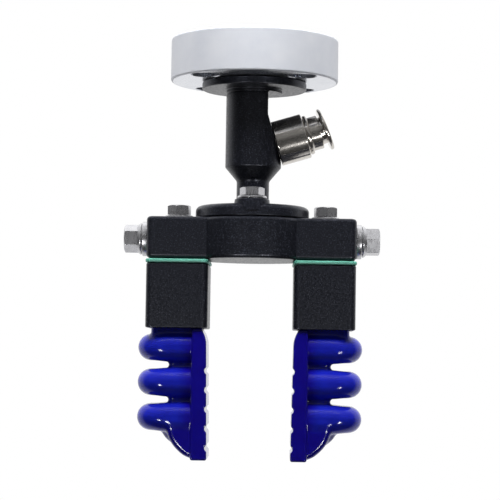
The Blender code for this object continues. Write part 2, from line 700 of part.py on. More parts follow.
def make_finger_mount(side_name, side):
    """Gasket, block, the finger's root inside it, and the plate and bolt that clamp the root."""
    gasket = side_box(
        f"gasket_{side_name}", side, BLOCK_INNER_X - GASKET_PROUD, BLOCK_OUTER_X + GASKET_PROUD,
        WING_DEPTH + 2 * GASKET_PROUD, BLOCK_TOP + GAP, BODY_BOTTOM - GAP, upright_radius=CORNER_RADIUS,
    )
    x = side * FINGER_BOLT_X
    cut(gasket, cylinder("gasket_hole", GASKET_HOLE_RADIUS, BLOCK_TOP - 1, BODY_BOTTOM + 1, x, sides=20))
    finish(gasket, GASKET_RUBBER)

    block = side_box(
        f"finger_block_{side_name}", side, BLOCK_INNER_X, BLOCK_OUTER_X, WING_DEPTH,
        BLOCK_BOTTOM, BLOCK_TOP, upright_radius=CORNER_RADIUS, edge_radius=0.4,
    )
    roof = BLOCK_TOP - BLOCK_ROOF
    inner = BLOCK_INNER_X + BLOCK_WALL
    outer = BLOCK_OUTER_X - BLOCK_WALL
    width = WING_DEPTH - 2 * BLOCK_WALL
    cut(block, side_box("block_cavity", side, inner, outer, width, BLOCK_BOTTOM - 1, roof, upright_radius=2.0))
    cut(block, cylinder("block_hole", 4.5, roof - 1, BLOCK_TOP + 1, x, sides=20))
    finish(block, BLACK_METAL)

    root_top = roof - GAP
    root_bottom = hinge_height(0) + HINGE_GAP / 2
    root = side_box(
        f"finger_root_{side_name}", side, inner + GAP, outer - GAP, width - 2 * GAP,
        root_bottom, root_top, upright_radius=1.8,
    )
    cut(root, cylinder("root_hole", 5.5, root_top - 4, root_top + 1, x, sides=20))
    chamber_top = root_top - 3.5
    cut(root, side_box("root_chamber", side, inner + 3.3, outer - 3.3, width - 6, root_bottom - 1, chamber_top))
    finish(root, SILICONE)

    plate = side_box(
        f"clamp_plate_{side_name}", side, inner + 3.6, outer - 3.6, width - 6.6, chamber_top - GAP - 4,
        chamber_top - GAP, upright_radius=1.5,
    )
    cut(plate, cylinder("plate_thread", BOLT_HOLE_RADIUS, chamber_top - 6, chamber_top + 1, x, sides=16))
    for offset in (-4.3, 4.3):
        cut(plate, cylinder("plate_vent", 1.2, chamber_top - 6, chamber_top + 1, x, offset, sides=12))
    finish(plate, STEEL)

    seat = BODY_TOP + GAP
    washer(f"finger_washer_{side_name}", x, 0, seat)
    turn = math.radians(90 + side * 10)
    head_seat = seat + WASHER_THICKNESS + GAP
    bolt(f"finger_bolt_{side_name}", x, 0, head_seat, FINGER_BOLT_HEAD_HEIGHT, FINGER_BOLT_END, turn)


def make_fitting_frame():
    """An empty on the slanted face whose Z is the fitting's axis."""
    frame = bpy.data.objects.new("fitting_frame", None)
    parts.objects.link(frame)
    frame.location = (FITTING_X * MM, 0, FITTING_Z * MM)
    frame.rotation_euler.y = math.pi / 2 - FITTING_RISE
    return frame


def main():
    fitting_frame = make_fitting_frame()
    make_disc()
    make_stem_screws()
    make_stem(fitting_frame)
    make_fitting(fitting_frame)
    make_collet(fitting_frame)
    make_cap()
    make_manifold()
    for side_name, side in (("left", -1), ("right", 1)):
        make_plug(side_name, side)
        make_finger_mount(side_name, side)
        for index in range(BULGE_COUNT):
            make_finger_segment(side_name, side, index)


clear_scene()
parts = new_collection(PART_NAME)
cutters = new_collection("cutters")
main()
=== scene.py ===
"""The looks of a two-finger soft pneumatic gripper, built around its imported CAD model.

Lengths are in millimetres in the frame's axes and are scaled to metres when a mesh is made.
X runs from finger to finger, Z is up, and the origin is the centre of the adapter disc's top.
"""

import itertools
import math

import bmesh
import bpy
import numpy as np
from mathutils import Matrix, Vector


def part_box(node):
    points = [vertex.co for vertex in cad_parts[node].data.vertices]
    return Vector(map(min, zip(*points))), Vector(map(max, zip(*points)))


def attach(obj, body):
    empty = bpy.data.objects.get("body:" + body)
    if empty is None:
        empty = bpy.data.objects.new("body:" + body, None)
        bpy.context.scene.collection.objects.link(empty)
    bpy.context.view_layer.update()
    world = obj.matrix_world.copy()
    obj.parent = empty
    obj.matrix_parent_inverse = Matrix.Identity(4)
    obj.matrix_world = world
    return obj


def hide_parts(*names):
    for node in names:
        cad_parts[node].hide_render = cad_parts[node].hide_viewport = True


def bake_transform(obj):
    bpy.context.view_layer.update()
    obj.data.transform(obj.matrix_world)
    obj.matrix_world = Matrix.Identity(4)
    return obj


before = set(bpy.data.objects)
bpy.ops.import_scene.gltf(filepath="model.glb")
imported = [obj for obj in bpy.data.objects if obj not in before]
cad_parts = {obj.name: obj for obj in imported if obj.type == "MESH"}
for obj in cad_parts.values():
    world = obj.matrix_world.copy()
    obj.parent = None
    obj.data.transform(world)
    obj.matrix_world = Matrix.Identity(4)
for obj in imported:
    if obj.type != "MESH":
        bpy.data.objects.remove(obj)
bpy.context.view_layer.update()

MM = 0.001
TURN_STEPS = 144
SMALL_STEPS = 72
SHARP_ANGLE = math.radians(32)
SIDES = (("left", -1), ("right", 1))


def extent(node):
    """A CAD node's lowest and highest corner in millimetres."""
    low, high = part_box(node)
    return np.array(low) / MM, np.array(high) / MM


DISC_LOW, DISC_HIGH = extent("adapter_disc")
STEM_HIGH = extent("stem")[1]
CAP_LOW, CAP_HIGH = extent("hub_cap")
BODY_LOW, BODY_HIGH = extent("manifold_body")
BLOCK_LOW, BLOCK_HIGH = extent("finger_block_right")
GASKET_LOW, GASKET_HIGH = extent("gasket_right")
PLUG_HIGH = extent("air_plug_right")[1]
TIP_LOW, TIP_HIGH = extent("finger_right_lower")
BULGE_HIGH = extent("finger_right_upper")[1]

# Adapter disc
DISC_RADIUS = DISC_HIGH[0]
DISC_BOTTOM = DISC_LOW[2]
DISC_RIM = 1.1
ROBOT_CIRCLE_RADIUS = 25.0
ROBOT_HOLE_RADIUS = 3.3
COUNTERBORE_RADIUS = 5.25
COUNTERBORE_DEPTH = 6.5
DOWEL_RADIUS = 3.0
DOWEL_DEPTH = 8.0
STEM_SCREW_CIRCLE_RADIUS = 15.0
STEM_SCREW_HEAD_RADIUS = 4.0
STEM_SCREW_RADIUS = 2.0
STEM_SCREW_HOLE_END = -18.4
SOCKET_ACROSS_FLATS = 2.5
SOCKET_DEPTH = 2.5

# Stem
FLANGE_RADIUS = STEM_HIGH[0]
FLANGE_BOTTOM = -19.1
STEM_RADIUS = 10.5
RING_BOTTOM = -20.3
FLAT_X = 5.3
FLAT_END = -28.8
CONE_TOP = -48.4
CONE_BOTTOM = -53.6
NECK_RADIUS = 6.1
SLANT_LENGTH = 12.0
MILLING_REACH = STEM_RADIUS + 10
MILLING_HALF_WIDTH = 15.0

# Push-in fitting, turned about its own axis; S runs outwards from the stem's slanted face
FITTING_PLACE = (8.4, 0.0, -39.3)
FITTING_RISE = math.radians(16.5)
FITTING_BODY_RADIUS = 8.55
FITTING_BODY_END = 11.7
FACE_GROOVE_RADIUS = 7.2
FACE_GROOVE_DEPTH = 1.6
FITTING_THREAD_RADIUS = 4.85
FITTING_THREAD_LENGTH = 6.5
FITTING_AIR_RADIUS = 2.5
TUBE_SEAT_RADIUS = 4.15
TUBE_SEAT_START = 2.2
SEAL_SEAT_RADIUS = 6.2
SEAL_SEAT_START = 4.4
GRIP_SEAT_RADIUS = 6.8
GRIP_SEAT_START = 7.4
COLLAR_RING_RADIUS = 7.5
COLLAR_RING_END = 13.5
COLLAR_NOSE_RADIUS = 6.4
COLLAR_NOSE_END = 17.3
COLLAR_BORE_RADIUS = 5.7
COLLAR_SPIGOT_RADIUS = 6.5
COLLAR_SPIGOT_START = 8.5
COLLET_RADIUS = 5.1
COLLET_BORE_RADIUS = 4.1
COLLET_FLANGE_RADIUS = 8.1
COLLET_FLANGE_START = 18.7
COLLET_FLANGE_END = 20.1
COLLET_INNER_END = 11.6
COLLET_LEAN = math.radians(6.5)
COLLET_LEAN_CENTRE = 16.0

# Hub cap, manifold and finger blocks
CAP_RADIUS = CAP_HIGH[0]
CAP_TOP = -63.3
LUG_TOP = CAP_HIGH[2]
LUG_RADIUS = 6.4
LUG_FLARE = 0.4
LUG_DEPTH = 2.5
CAP_BORE_RADIUS = 5.0
CAP_BOLT_Y = 15.0
HUB_RADIUS = 22.0
WING_DEPTH = 29.0
WING_CORNER = 2.5
WING_EDGE = 1.4
BLOCK_WALL = 1.7
BLOCK_ROOF = 5.0
CAVITY_CORNER = 1.9
PORT_RADIUS = 5.1
PORT_DEPTH = 8.0
WING_HOLE_RADIUS = 3.5
GASKET_HOLE_RADIUS = 4.7
ROOF_HOLE_RADIUS = 4.5
FINGER_BOLT_X = 27.5
CHANNEL_Z = (BODY_LOW[2] + BODY_HIGH[2]) / 2

# Bolts, washers and plugs
BOLT_ACROSS_FLATS = 8.0
FINGER_BOLT_HEAD_HEIGHT = 3.6
CAP_BOLT_HEAD_HEIGHT = 2.9
FINGER_BOLT_TWIST = 10
HEAD_LAND_SHARE = 0.95
HEAD_CHAMFER = math.radians(28)
BOLT_RADIUS = 2.5
BOLT_HOLE_RADIUS = 2.8
WASHER_RADIUS = 5.35
GAP = 0.3
PLUG_ACROSS_FLATS = 9.2
PLUG_FLANGE_RADIUS = 5.9
PLUG_FLANGE_THICKNESS = 0.6
PLUG_WASHER_RADIUS = 6.5
PLUG_WASHER_THICKNESS = 2.0
PLUG_WASHER_HOLE_RADIUS = 5.1
PLUG_THREAD_RADIUS = 4.8
PLUG_THREAD_LENGTH = 7.0
PLUG_TURN = {"left": 0.0, "right": math.radians(21)}

# Silicone fingers, described for the one on the +X side
NECK_LENGTH = 1.9
BULGE_PITCH = 12.9
FIRST_BULGE_DROP = 5.25
BULGE_HALF_HEIGHT = 5.35
BULGE_END_RADIUS = 4.95
BULGE_PLAN_RADIUS = 10.0
BULGE_HALF_WIDTH = 13.0
BULGE_TAPER_LENGTH = 6
BULGE_BLEND = 1.2
BULGE_OUTER_X = BULGE_HIGH[0]
BULGE_CENTRES = [BLOCK_LOW[2] - NECK_LENGTH - FIRST_BULGE_DROP - BULGE_PITCH * i for i in range(3)]
CORE_OUTER_X = 30.0
CORE_HALF_WIDTH = 9.0
CORE_ROUNDING = 2.0
NECK_HALF_WIDTH = 10.8
NECK_DROP = 12
NECK_ROUNDING = 3.0
PAD_BACK_X = 21.4
PAD_TOP_X = 16.1
PAD_TIP_X = TIP_LOW[0]
PAD_HALF_WIDTH = TIP_HIGH[1]
PAD_ROUNDING = 0.75
PAD_OVERLAP = 3
PAD_BLEND = 0.35
FINGER_TIP = TIP_LOW[2] + 0.1
DRAW_BACK = 1.9
DRAW_BACK_LENGTH = 6.0
GROOVE_FIRST = -124.8
GROOVE_PITCH = 7.1
GROOVE_COUNT = 5
GROOVE_RADIUS = 1.25
GROOVE_CENTRE = 0.5
GROOVE_BLEND = 0.35
WEB_HALF_WIDTH = 12.6
WEB_TOP_X = 30.5
WEB_HEIGHT = 12.8
WEB_TAPER = 1.5
WEB_SWEEP = 7.8
WEB_SWEEP_POWER = 2.6
WEB_ROUNDING = 2.2
WEB_BLEND = 1.5
LUMP_PLACE = (26.8, -146.0)
LUMP_RADIUS = 5.6
LUMP_HALF_WIDTH = 7.0
LUMP_ROUNDING = 3.0
LUMP_BLEND = 1.6
NET_STEP = 0.36

# A wave texture of scale 1 repeats after this length
WAVE_PERIOD = 0.31416

# Camera and floor, in metres
CAMERA_PLACE = (0.009, -0.677, -0.1202)
CAMERA_TURN = math.radians(0.82)
CAMERA_PITCH = math.radians(93.45)
CAMERA_ROLL = math.radians(0.905)
CAMERA_LENS = 130.0
FLOOR_RADIUS = 0.25
FLOOR_HEIGHT = -0.42

# Name, place, target, width and height in metres, power in watts, whether only reflections
# show it, and the angle that it spreads over
SOFTBOXES = (
    ("disc_light", (0.0, -0.16, 0.15), (0, 0, -0.01), 0.3, 0.1, 0.17, False, math.radians(60)),
    ("overhead", (0.0, -0.25, 0.6), (0, 0, -0.13), 0.6, 0.5, 4.6, False, math.pi),
    ("low_left", (-0.17, -0.40, -0.29), (0, 0, -0.13), 0.08, 0.08, 0.9, True, math.pi),
    ("low_right", (0.20, -0.40, -0.29), (0, 0, -0.13), 0.08, 0.08, 0.9, True, math.pi),
)

# The room's brightness: axis, where a band starts and ends, and what it adds at each end
WORLD_BANDS = (
    ("Y", -0.05, 0.4, 0.035, 1.0),
    ("Z", 0.5, 1.0, 0.0, 0.6),
    ("Z", 0.0, 0.35, 0.0, 0.16),
)


# ---------------------------------------------------------------- materials

class Look:
    """A Principled material with helpers for its procedural detail."""

    def __init__(self, name, colour, roughness, metallic=0.0):
        self.material = bpy.data.materials.new(name)
        self.material.use_nodes = True
        self.nodes = self.material.node_tree.nodes
        self.links = self.material.node_tree.links
        self.shader = self.nodes["Principled BSDF"]
        self.set("Base Color", (*colour, 1.0))
        self.set("Roughness", roughness)
        self.set("Metallic", metallic)
        self.place = self.nodes.new("ShaderNodeTexCoord").outputs["Object"]
        self.height = None

    def set(self, socket, value):
        self.shader.inputs[socket].default_value = value

    def noise(self, size_mm, detail=2.0, stretch=None, roughness=0.5):
        """Noise whose features are about size_mm across, stretched along the axes."""
        place = self.place
        if stretch:
            mapping = self.nodes.new("ShaderNodeMapping")
            mapping.inputs["Scale"].default_value = stretch
            self.links.new(place, mapping.inputs["Vector"])
            place = mapping.outputs["Vector"]
        noise = self.nodes.new("ShaderNodeTexNoise")
        noise.inputs["Scale"].default_value = 1 / (size_mm * MM)
        noise.inputs["Detail"].default_value = detail
        noise.inputs["Roughness"].default_value = roughness
        self.links.new(place, noise.inputs["Vector"])
        return noise.outputs["Fac"]

    def remap(self, value, start, end, low, high):
        node = self.nodes.new("ShaderNodeMapRange")
        for socket, number in zip(("From Min", "From Max", "To Min", "To Max"), (start, end, low, high)):
            node.inputs[socket].default_value = number
        self.links.new(value, node.inputs["Value"])
        return node.outputs["Result"]

    def math(self, operation, *values):
        node = self.nodes.new("ShaderNodeMath")
        node.operation = operation
        for value, socket in zip(values, node.inputs):
            self.links.new(value, socket)
        return node.outputs["Value"]

    def colours(self, value, stops):
        """Base colour from a ramp of (place, colour)."""
        ramp = self.nodes.new("ShaderNodeValToRGB")
        elements = ramp.color_ramp.elements
        while len(elements) < len(stops):
            elements.new(0.5)
        for element, (place, colour) in zip(elements, stops):
            element.position = place
            element.color = (*colour, 1.0)
        self.links.new(value, ramp.inputs["Fac"])
        self.links.new(ramp.outputs["Color"], self.shader.inputs["Base Color"])
        return self

    def rough(self, value, low, high, start=0.35, end=0.65):
        self.links.new(self.remap(value, start, end, low, high), self.shader.inputs["Roughness"])
        return self

    def bump(self, value, depth_mm, strength=1.0):
        """Adds a layer of relief on top of the ones before it."""
        node = self.nodes.new("ShaderNodeBump")
        node.inputs["Strength"].default_value = strength
        node.inputs["Distance"].default_value = depth_mm * MM
        self.links.new(value, node.inputs["Height"])
        if self.height:
            self.links.new(self.height, node.inputs["Normal"])
        self.height = node.outputs["Normal"]
        self.links.new(self.height, self.shader.inputs["Normal"])
        return self

    def rings(self, spacing_mm):
        """Fine concentric turning marks about the frame's Z axis."""
        wave = self.nodes.new("ShaderNodeTexWave")
        wave.wave_type = "RINGS"
        wave.rings_direction = "Z"
        wave.inputs["Scale"].default_value = WAVE_PERIOD / (spacing_mm * MM)
        wave.inputs["Distortion"].default_value = 0.6
        wave.inputs["Detail"].default_value = 1.0
        self.links.new(self.place, wave.inputs["Vector"])
        return wave.outputs["Fac"]


def silver_look():
    look = Look("silver_anodised", (0.60, 0.62, 0.67), 0.5, 0.2)
    fine = look.noise(0.25, 3.0)
    look.colours(look.noise(9.0, 3.0), [(0.3, (0.58, 0.60, 0.655)), (0.7, (0.64, 0.655, 0.70))])
    look.rough(fine, 0.42, 0.56)
    return look.bump(fine, 0.004, 0.4).material


def turned_face_look():
    """Everything on the disc inside its rim, finely turned about the disc's axis."""
    look = Look("silver_turned", (0.60, 0.62, 0.67), 0.2, 1.0)
    rings = look.rings(0.5)
    look.colours(look.noise(9.0, 3.0), [(0.3, (0.58, 0.60, 0.65)), (0.7, (0.64, 0.655, 0.70))])
    look.rough(rings, 0.18, 0.30, 0.0, 1.0)
    return look.bump(rings, 0.002, 0.3).material


def black_look():
    look = Look("black_anodised", (0.008, 0.009, 0.012), 0.36, 0.0)
    grain = look.noise(0.5, 3.0, roughness=0.7)
    look.colours(grain, [
        (0.40, (0.004, 0.0045, 0.007)), (0.56, (0.009, 0.010, 0.015)), (0.70, (0.055, 0.06, 0.08)),
    ])
    look.rough(look.noise(0.8, 2.0), 0.28, 0.44)
    look.set("Specular IOR Level", 0.42)
    look.set("Specular Tint", (0.84, 0.87, 1.0, 1.0))
    return look.bump(grain, 0.012, 0.4).material


def steel_look():
    look = Look("stainless_steel", (0.50, 0.50, 0.52), 0.28, 0.87)
    marks = look.noise(0.8, 2.0, (1.0, 1.0, 0.4))
    look.colours(look.noise(2.5, 3.0), [(0.3, (0.48, 0.48, 0.50)), (0.7, (0.56, 0.56, 0.58))])
    look.rough(marks, 0.26, 0.32)
    return look.bump(marks, 0.001, 0.05).material


def nickel_look():
    look = Look("nickel_plate", (0.62, 0.59, 0.55), 0.16, 0.9)
    haze = look.noise(1.5, 4.0)
    look.colours(look.noise(5.0, 2.0), [(0.3, (0.58, 0.55, 0.51)), (0.7, (0.66, 0.63, 0.59))])
    look.rough(haze, 0.13, 0.16)
    return look.bump(haze, 0.001, 0.05).material


def gasket_look():
    look = Look("green_rubber", (0.11, 0.42, 0.30), 0.55)
    fleck = look.noise(0.35, 3.0)
    look.colours(fleck, [(0.35, (0.10, 0.40, 0.30)), (0.65, (0.14, 0.47, 0.36))])
    look.rough(look.noise(1.2), 0.45, 0.65)
    return look.bump(fleck, 0.02, 0.5).material


def seal_look():
    look = Look("black_rubber", (0.015, 0.015, 0.016), 0.55)
    skin = look.noise(0.4, 3.0)
    look.colours(skin, [(0.35, (0.010, 0.010, 0.011)), (0.65, (0.024, 0.024, 0.026))])
    look.rough(skin, 0.45, 0.65)
    return look.bump(skin, 0.01, 0.5).material


def silicone_look():
    """Glossy blue rubber with painted light: the hollow bulges are painted a lighter blue, a painted glow of
    light shining through their thin walls, and the solid pads and webs are left a deep blue."""
    look = Look("blue_silicone", (0.008, 0.011, 0.40), 0.13)
    split = look.nodes.new("ShaderNodeSeparateXYZ")
    look.links.new(look.place, split.inputs["Vector"])
    reach = look.math("ABSOLUTE", split.outputs["X"])
    # Painted glow: a mask of where light shining through the thin bulge walls is painted, beyond the pad's
    # back and above the web.
    thin_wall_glow = look.remap(reach, PAD_BACK_X * MM, (PAD_BACK_X + 5) * MM, 0.0, 0.7)
    lowest = BULGE_CENTRES[2]
    glow_above_web = look.remap(split.outputs["Z"], (lowest - 6) * MM, (lowest - 1) * MM, 0.0, 0.7)
    share = look.math("MINIMUM", thin_wall_glow, glow_above_web)
    cloud = look.remap(look.noise(7.0, 3.0), 0.3, 0.7, 0.0, 0.3)
    # The ramp paints that glow: deep blue where no light shines through, lighter blue in the glowing bulges.
    # The cloud adds random tone.
    look.colours(look.math("ADD", share, cloud), [
        (0.0, (0.007, 0.0025, 0.25)), (0.3, (0.007, 0.004, 0.29)),
        (0.7, (0.009, 0.015, 0.43)), (1.0, (0.011, 0.020, 0.50)),
    ])
    look.rough(look.noise(1.6, 3.0), 0.10, 0.16)
    look.set("IOR", 1.38)
    look.set("Subsurface Weight", 0.08)
    look.set("Subsurface Radius", (0.3, 0.4, 1.0))
    look.set("Subsurface Scale", 1.2 * MM)
    return look.bump(look.noise(2.6, 2.0), 0.01, 0.4).material


SILVER = silver_look()
TURNED = turned_face_look()
BLACK = black_look()
STEEL = steel_look()
NICKEL = nickel_look()
GASKET = gasket_look()
SEAL = seal_look()
SILICONE = silicone_look()


# ---------------------------------------------------------------- modelling

def new_object(name, bm):
    mesh = bpy.data.meshes.new(name)
    bm.to_mesh(mesh)
    bm.free()
    obj = bpy.data.objects.new(name, mesh)
    bpy.context.scene.collection.objects.link(obj)
    return obj


def rounded(corners, closed=False, steps=6):
    """A polyline through (x, y, radius) corners, each rounded by an arc of its radius."""
    points = []
    count = len(corners)
    for index, (x, y, radius) in enumerate(corners):
        here = Vector((x, y))
        if radius <= 0 or (not closed and index in (0, count - 1)):
            points.append((x, y))
            continue
        before = (Vector(corners[index - 1][:2]) - here).normalized()
        after = (Vector(corners[(index + 1) % count][:2]) - here).normalized()
        half = math.acos(max(-1.0, min(1.0, before.dot(after)))) / 2
        centre = here + (before + after).normalized() * radius / math.sin(half)
        start = here + before * radius / math.tan(half) - centre
        end = here + after * radius / math.tan(half) - centre
        sweep = start.angle_signed(end)
        for step in range(steps + 1):
            angle = math.atan2(start.y, start.x) - sweep * step / steps
            points.append((centre.x + radius * math.cos(angle), centre.y + radius * math.sin(angle)))
    return points


def turned(name, profile, steps=TURN_STEPS, ring=False):
    """Turns a profile of (radius, height) about Z; a ring's profile is a closed section."""
    bm = bmesh.new()
    rows = []
    for radius, height in profile:
        angles = [2 * math.pi * step / steps for step in range(steps)]
        rows.append([
            bm.verts.new((radius * math.cos(a) * MM, radius * math.sin(a) * MM, height * MM)) for a in angles
        ])
    pairs = list(zip(rows, rows[1:] + rows[:1])) if ring else list(zip(rows, rows[1:]))
    for upper, lower in pairs:
        for step in range(steps):
            following = (step + 1) % steps
            bm.faces.new((upper[step], lower[step], lower[following], upper[following]))
    bmesh.ops.remove_doubles(bm, verts=bm.verts, dist=0.0005 * MM)
    bmesh.ops.recalc_face_normals(bm, faces=bm.faces)
    return new_object(name, bm)


def plate(name, outline, low, high, edge=0.0, bottom_edge=None):
    """An outline in XY between two heights, with its upper and lower edges rounded."""
    bm = bmesh.new()
    face = bm.faces.new([bm.verts.new((x * MM, y * MM, low * MM)) for x, y in outline])
    extruded = bmesh.ops.extrude_face_region(bm, geom=[face])
    top = [v for v in extruded["geom"] if isinstance(v, bmesh.types.BMVert)]
    bmesh.ops.translate(bm, verts=top, vec=(0, 0, (high - low) * MM))
    bmesh.ops.recalc_face_normals(bm, faces=bm.faces)
    for height, width in ((high, edge), (low, edge if bottom_edge is None else bottom_edge)):
        if width:
            rim = [e for e in bm.edges if all(abs(v.co.z - height * MM) < 1e-7 for v in e.verts)]
            bmesh.ops.bevel(bm, geom=rim, offset=width * MM, segments=4, profile=0.5, affect="EDGES")
    return new_object(name, bm)


def rectangle(left, right, half_depth, radius):
    return rounded([
        (left, -half_depth, radius), (right, -half_depth, radius),
        (right, half_depth, radius), (left, half_depth, radius),
    ], closed=True)


def hexagon(across_flats, radius, turn=0.0):
    corner = across_flats / 2 / math.cos(math.radians(30))
    angles = [turn + math.radians(60 * index) for index in range(6)]
    corners = [(corner * math.cos(a), corner * math.sin(a), radius) for a in angles]
    return rounded(corners, closed=True, steps=3)


def applied(obj):
    """Bakes an object's modifiers into its mesh."""
    depsgraph = bpy.context.evaluated_depsgraph_get()
    mesh = bpy.data.meshes.new_from_object(obj.evaluated_get(depsgraph))
    obj.modifiers.clear()
    obj.data = mesh
    return obj


def combine(obj, other, operation):
    modifier = obj.modifiers.new(operation, "BOOLEAN")
    modifier.operation = operation
    modifier.solver = "EXACT"
    modifier.object = other
    applied(obj)
    bpy.data.objects.remove(other, do_unlink=True)
    return obj


def cut(obj, *others):
    for other in others:
        combine(obj, other, "DIFFERENCE")
    return obj


def join(obj, *others):
    for other in others:
        combine(obj, other, "UNION")
    return obj


def moved(obj, x=0.0, y=0.0, z=0.0):
    obj.data.transform(Matrix.Translation(Vector((x, y, z)) * MM))
    return obj


def finish_piece(obj, material, *nodes, body="root"):
    """Shading, material, the CAD nodes it stands for and the body it rides on."""
    obj.data.materials.clear()
    obj.data.materials.append(material)
    obj.data.shade_smooth()
    obj.data.set_sharp_from_angle(angle=SHARP_ANGLE)
    weighted = obj.modifiers.new("flat faces", "WEIGHTED_NORMAL")
    weighted.keep_sharp = True
    applied(obj)
    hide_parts(*nodes)
    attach(obj, body)
    return obj


def around(count, radius, start=0.0):
    for index in range(count):
        angle = start + 2 * math.pi * index / count
        yield radius * math.cos(angle), radius * math.sin(angle)


# ---------------------------------------------------------------- metal pieces

def drill(radius, low, high, x, y, flare=0.0, mouth_low=False):
    """A cutter for a hole, whose mouth can be chamfered."""
    if flare and mouth_low:
        profile = [(0, high), (radius, high), (radius, low + flare + 1), (radius + flare + 1, low), (0, low)]
    elif flare:
        profile = [(0, high), (radius + flare + 1, high), (radius, high - flare - 1), (radius, low), (0, low)]
    else:
        profile = [(0, high), (radius, high), (radius, low), (0, low)]
    return moved(turned("drill", profile, SMALL_STEPS), x, y)


def make_disc():
    disc = turned("adapter_disc_body", rounded([
        (0, 0, 0), (DISC_RADIUS, 0, 1.0), (DISC_RADIUS, DISC_BOTTOM, 0.7), (0, DISC_BOTTOM, 0),
    ]), 192)
    for x, y in around(4, ROBOT_CIRCLE_RADIUS, math.pi / 4):
        floor = DISC_BOTTOM + COUNTERBORE_DEPTH
        cut(disc, drill(ROBOT_HOLE_RADIUS, DISC_BOTTOM - 1, 1, x, y, 0.3))
        cut(disc, drill(COUNTERBORE_RADIUS, DISC_BOTTOM - 1, floor, x, y, 0.3, mouth_low=True))
    for x, y in around(4, STEM_SCREW_CIRCLE_RADIUS):
        reach = STEM_SCREW_HEAD_RADIUS - STEM_SCREW_RADIUS + 0.2
        cut(disc, drill(STEM_SCREW_RADIUS + GAP, DISC_BOTTOM - 1, 1, x, y, reach))
    cut(disc, drill(DOWEL_RADIUS, -DOWEL_DEPTH, 1, 0, ROBOT_CIRCLE_RADIUS, 0.3))
    finish_piece(disc, SILVER, "adapter_disc")
    disc.data.materials.append(TURNED)
    for face in disc.data.polygons:
        if math.hypot(*face.center[:2]) < (DISC_RADIUS - DISC_RIM) * MM:
            face.material_index = 1


def make_stem_screws():
    head = STEM_SCREW_HEAD_RADIUS
    shank = STEM_SCREW_RADIUS
    for index, (x, y) in enumerate(around(4, STEM_SCREW_CIRCLE_RADIUS)):
        node = f"stem_screw_{index + 1}"
        end = extent(node)[0][2]
        screw = turned(f"{node}_body", rounded([
            (0, -GAP, 0), (head, -GAP, 0.1), (head, -GAP - 0.2, 0), (shank, -GAP - 0.2 - head + shank, 0),
            (shank, end + 0.5, 0), (shank - 0.5, end, 0), (0, end, 0),
        ]), SMALL_STEPS)
        cut(screw, plate("socket", hexagon(SOCKET_ACROSS_FLATS, 0.1), -SOCKET_DEPTH, 1))
        finish_piece(moved(screw, x, y), STEEL, node)


def make_stem():
    top = STEM_HIGH[2]
    stem = turned("stem_body", rounded([
        (0, top, 0), (FLANGE_RADIUS, top, 0.5), (FLANGE_RADIUS, FLANGE_BOTTOM, 0.5),
        (STEM_RADIUS, FLANGE_BOTTOM, 0.3), (STEM_RADIUS, RING_BOTTOM, 0.15),
        (STEM_RADIUS - 0.35, RING_BOTTOM - 0.3, 0.1), (STEM_RADIUS, RING_BOTTOM - 0.6, 0.15),
        (STEM_RADIUS, CONE_TOP, 0.8), (NECK_RADIUS, CONE_BOTTOM, 2.0), (NECK_RADIUS, CAP_TOP + GAP, 0.3),
        (0, CAP_TOP + GAP, 0),
    ]))
    foot = FITTING_PLACE[2] - SLANT_LENGTH
    slant_x = FLAT_X + (FLAT_END - foot) * math.tan(FITTING_RISE)
    outline = rounded([
        (FLAT_X, RING_BOTTOM, 0.8), (FLAT_X, FLAT_END, 1.5), (slant_x, foot, 0),
        (MILLING_REACH, foot, 0), (MILLING_REACH, RING_BOTTOM, 0),
    ], closed=True)
    milled = plate("milled_face", outline, -MILLING_HALF_WIDTH, MILLING_HALF_WIDTH)
    milled.data.transform(Matrix.Rotation(math.radians(90), 4, "X"))
    cut(stem, milled)
    for x, y in around(4, STEM_SCREW_CIRCLE_RADIUS):
        cut(stem, drill(STEM_SCREW_RADIUS + GAP, STEM_SCREW_HOLE_END, top + 1, x, y))
    finish_piece(stem, BLACK, "stem")


def fitting_matrix():
    place = Matrix.Translation(Vector(FITTING_PLACE) * MM)
    return place @ Matrix.Rotation(math.pi / 2 - FITTING_RISE, 4, "Y")


def make_fitting():
    end = FITTING_BODY_END
    body = turned("fitting_body_shell", rounded([
        (FITTING_BODY_RADIUS, end, 0.45), (FITTING_BODY_RADIUS, GAP, 0.35),
        (FACE_GROOVE_RADIUS, GAP, 0), (FACE_GROOVE_RADIUS, FACE_GROOVE_DEPTH, 0),
        (FITTING_THREAD_RADIUS, FACE_GROOVE_DEPTH, 0), (FITTING_THREAD_RADIUS, -FITTING_THREAD_LENGTH, 0),
        (FITTING_AIR_RADIUS, -FITTING_THREAD_LENGTH, 0), (FITTING_AIR_RADIUS, TUBE_SEAT_START, 0),
        (TUBE_SEAT_RADIUS, TUBE_SEAT_START, 0), (TUBE_SEAT_RADIUS, SEAL_SEAT_START, 0),
        (SEAL_SEAT_RADIUS, SEAL_SEAT_START, 0), (SEAL_SEAT_RADIUS, GRIP_SEAT_START, 0),
        (GRIP_SEAT_RADIUS, GRIP_SEAT_START, 0), (GRIP_SEAT_RADIUS, end, 0),
    ], closed=True, steps=5), ring=True)
    body.data.transform(fitting_matrix())
    finish_piece(body, NICKEL, "fitting_body")
    base = end + GAP
    collar = turned("fitting_collar_shell", rounded([
        (COLLAR_NOSE_RADIUS, COLLAR_NOSE_END, 0.35), (COLLAR_NOSE_RADIUS, COLLAR_RING_END, 0.2),
        (COLLAR_RING_RADIUS, COLLAR_RING_END, 0.75), (COLLAR_RING_RADIUS, base, 0.4),
        (COLLAR_SPIGOT_RADIUS, base, 0), (COLLAR_SPIGOT_RADIUS, COLLAR_SPIGOT_START, 0),
        (COLLAR_BORE_RADIUS, COLLAR_SPIGOT_START, 0), (COLLAR_BORE_RADIUS, COLLAR_NOSE_END, 0.15),
    ], closed=True, steps=5), ring=True)
    collar.data.transform(fitting_matrix())
    finish_piece(collar, NICKEL, "fitting_collar")


